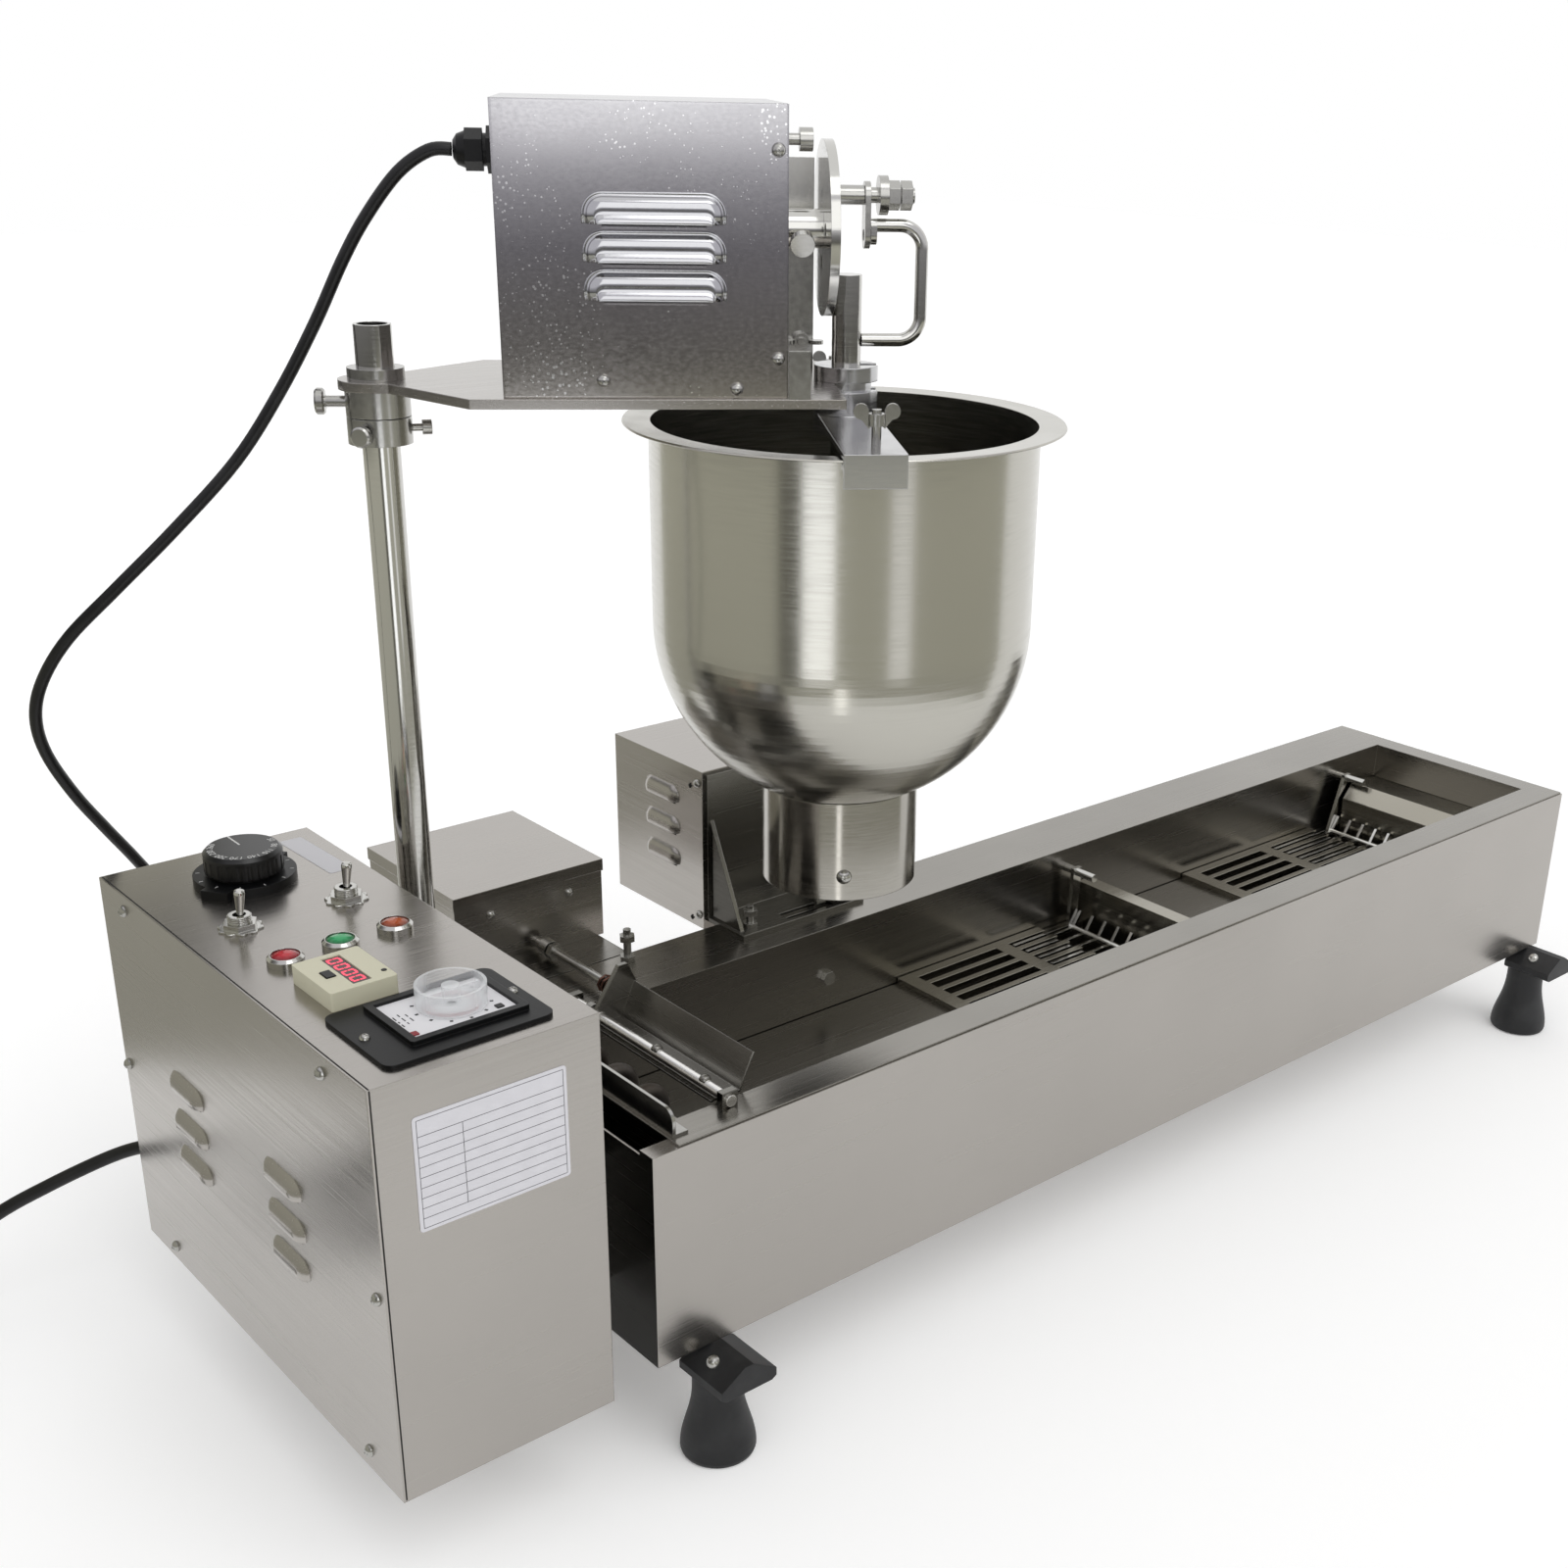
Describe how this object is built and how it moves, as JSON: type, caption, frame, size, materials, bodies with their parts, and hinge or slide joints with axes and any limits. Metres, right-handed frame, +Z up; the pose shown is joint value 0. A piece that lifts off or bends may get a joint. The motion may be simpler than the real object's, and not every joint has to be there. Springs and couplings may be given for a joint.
{
  "type": "automatic ring doughnut fryer",
  "caption": "Long tabletop fryer with slotted grids and turning forks, a side control box and a swinging arm that carries a batter hopper with a motor-driven plunger.",
  "frame": {"origin": "under the middle of the whole machine, on the table", "axes": "+X along the tank away from the control box, +Y to the back, +Z up"},
  "size_m": [1.3629, 0.4453, 0.716],
  "materials": {
    "sheet": "satin stainless sheet",
    "tank_steel": "drawn stainless, heat tinted",
    "polished": "turned and polished stainless",
    "plated": "zinc-plated steel",
    "alloy": "matt alloy",
    "dark_metal": "grey paint",
    "heater": "scaled heating tube",
    "rubber": "moulded rubber",
    "black_plastic": "moulded",
    "grey_plastic": "moulded",
    "lens": "tinted lamp lenses",
    "clear_plastic": "clear moulding",
    "spring": "oil-darkened wire",
    "cord": "round sheath"
  },
  "bodies": {
    "base": {"casing": "sheet", "oil_tank": "tank_steel", "frying_tray": "tank_steel", "grid_1": "tank_steel", "grid_2": "tank_steel", "divider": "tank_steel", "end_chute": "tank_steel", "heater_element": "heater", "heater_hanger": "plated", "bridge_bracket": "plated", "rubber_feet": "rubber", "base_screws": "plated", "control_box": "sheet", "control_side_cover": "sheet", "thermostat_base": "black_plastic", "panel_bezels": "polished", "lamp_lenses": "lens", "counter_housing": "grey_plastic", "timer_frame": "black_plastic", "rear_glands": "black_plastic", "column": "polished", "rear_brackets": "plated", "mid_drive_box": "sheet", "small_drive_box": "sheet", "drive_gearmotors": "dark_metal", "motor_cable": "cord", "power_cord": "cord", "cord_coil": "cord", "power_plug": "black_plastic"},
    "thermostat_knob": {"thermostat_knob": "black_plastic"},
    "toggle_left": {"toggle_lever_left": "polished"},
    "toggle_right": {"toggle_lever_right": "polished"},
    "counter_button": {"counter_button": "black_plastic"},
    "timer_dial": {"timer_dial": "clear_plastic"},
    "fork_1": {"fork_1": "polished"},
    "fork_2": {"fork_2": "polished"},
    "fork_bar": {"fork_bar": "plated"},
    "paddle": {"paddle": "plated"},
    "paddle_cam": {"paddle_cam": "plated", "paddle_spring": "spring"},
    "stop_collar": {"stop_collar": "plated"},
    "stop_screw": {"stop_screw": "plated"},
    "arm": {"arm_plate": "sheet", "arm_collar": "plated", "motor_box": "alloy", "head_gearmotor": "dark_metal", "head_screws": "plated", "cable_gland": "black_plastic", "head_bracket": "plated", "hopper_collar": "alloy", "hopper": "polished", "hopper_neck": "polished"},
    "arm_screw": {"arm_screw": "plated"},
    "wing_screw_front": {"wing_screw_front": "plated"},
    "wing_screw_rear": {"wing_screw_rear": "plated"},
    "crank": {"crank_disc": "polished", "crank_bolt": "polished"},
    "link": {"link_plate": "plated"},
    "plunger": {"plunger_tube": "polished", "lift_handle": "polished"}
  },
  "joints": [
    {"name": "arm_swing", "type": "hinge", "parent": "base", "child": "arm", "pos_m": [-0.36995, 0.06675, 0.548], "axis": [0, 0, 1], "range_deg": [-45, 15], "deforming": ["motor_cable"]},
    {"name": "stop_slide", "type": "slide", "parent": "base", "child": "stop_collar", "axis": [0, 0, 1], "range_m": [-0.06, 0]},
    {"name": "stop_screw_turn", "type": "hinge", "parent": "stop_collar", "child": "stop_screw", "pos_m": [-0.36995, 0.06675, 0.54871], "axis": [-0.8025, -0.5967, 0], "range_deg": [-180, 180]},
    {"name": "arm_screw_turn", "type": "hinge", "parent": "arm", "child": "arm_screw", "pos_m": [-0.36995, 0.06675, 0.56391], "axis": [-0.8352, 0.55, 0], "range_deg": [-180, 180]},
    {"name": "wing_turn_front", "type": "hinge", "parent": "arm", "child": "wing_screw_front", "pos_m": [-0.21062, -0.15313, 0.558], "axis": [0, 0, 1], "range_deg": [-90, 90]},
    {"name": "wing_turn_rear", "type": "hinge", "parent": "arm", "child": "wing_screw_rear", "pos_m": [-0.10502, 0.00723, 0.558], "axis": [0, 0, 1], "range_deg": [-90, 90]},
    {"name": "crank_turn", "type": "hinge", "parent": "arm", "child": "crank", "pos_m": [-0.17285, -0.06305, 0.65391], "axis": [0.8352, -0.55, 0], "continuous": true},
    {"name": "link_turn", "type": "hinge", "parent": "crank", "child": "link", "pos_m": [-0.15423, -0.07531, 0.67091], "axis": [0.8352, -0.55, 0], "continuous": true},
    {"name": "plunger_lift", "type": "slide", "parent": "arm", "child": "plunger", "axis": [0, 0, 1], "range_m": [-0.034, 0]},
    {"name": "fork_1_turn", "type": "hinge", "parent": "base", "child": "fork_1", "pos_m": [0.12005, -0.07075, 0.1922], "axis": [0, 1, 0], "range_deg": [0, 110]},
    {"name": "fork_2_turn", "type": "hinge", "parent": "base", "child": "fork_2", "pos_m": [0.45005, -0.07075, 0.1922], "axis": [0, 1, 0], "range_deg": [0, 110]},
    {"name": "fork_bar_slide", "type": "slide", "parent": "base", "child": "fork_bar", "axis": [-1, 0, 0], "range_m": [0, 0.02294]},
    {"name": "paddle_swing", "type": "hinge", "parent": "base", "child": "paddle", "pos_m": [-0.30295, -0.07075, 0.2111], "axis": [0, 1, 0], "range_deg": [0, 70], "stiffness_Nm_per_rad": 0.08, "springref_deg": -34.38},
    {"name": "cam_turn", "type": "hinge", "parent": "base", "child": "paddle_cam", "pos_m": [-0.27895, 0.02675, 0.2151], "axis": [0, 1, 0], "continuous": true},
    {"name": "thermostat_turn", "type": "hinge", "parent": "base", "child": "thermostat_knob", "pos_m": [-0.46245, 0.08875, 0.318], "axis": [0, 0, 1], "range_deg": [-270, 0]},
    {"name": "toggle_left_flip", "type": "hinge", "parent": "base", "child": "toggle_left", "pos_m": [-0.49295, 0.02775, 0.3065], "axis": [1, 0, 0], "range_deg": [-20, 0]},
    {"name": "toggle_right_flip", "type": "hinge", "parent": "base", "child": "toggle_right", "pos_m": [-0.43195, 0.02775, 0.3065], "axis": [1, 0, 0], "range_deg": [-20, 0]},
    {"name": "button_press", "type": "slide", "parent": "base", "child": "counter_button", "axis": [0, 0, 1], "range_m": [-0.0012, 0], "stiffness_N_per_m": 400, "springref_m": 0.001},
    {"name": "timer_turn", "type": "hinge", "parent": "base", "child": "timer_dial", "pos_m": [-0.45395, -0.12525, 0.314], "axis": [0, 0, 1], "range_deg": [-300, 0]}
  ],
  "couplings": [
    {"joint": "fork_2_turn", "follows": "fork_1_turn", "ratio": 1},
    {"joint": "fork_bar_slide", "follows": "fork_1_turn", "m_per_rad": 0.011946},
    {"joint": "link_turn", "follows": "crank_turn", "ratio": -1}
  ]
}
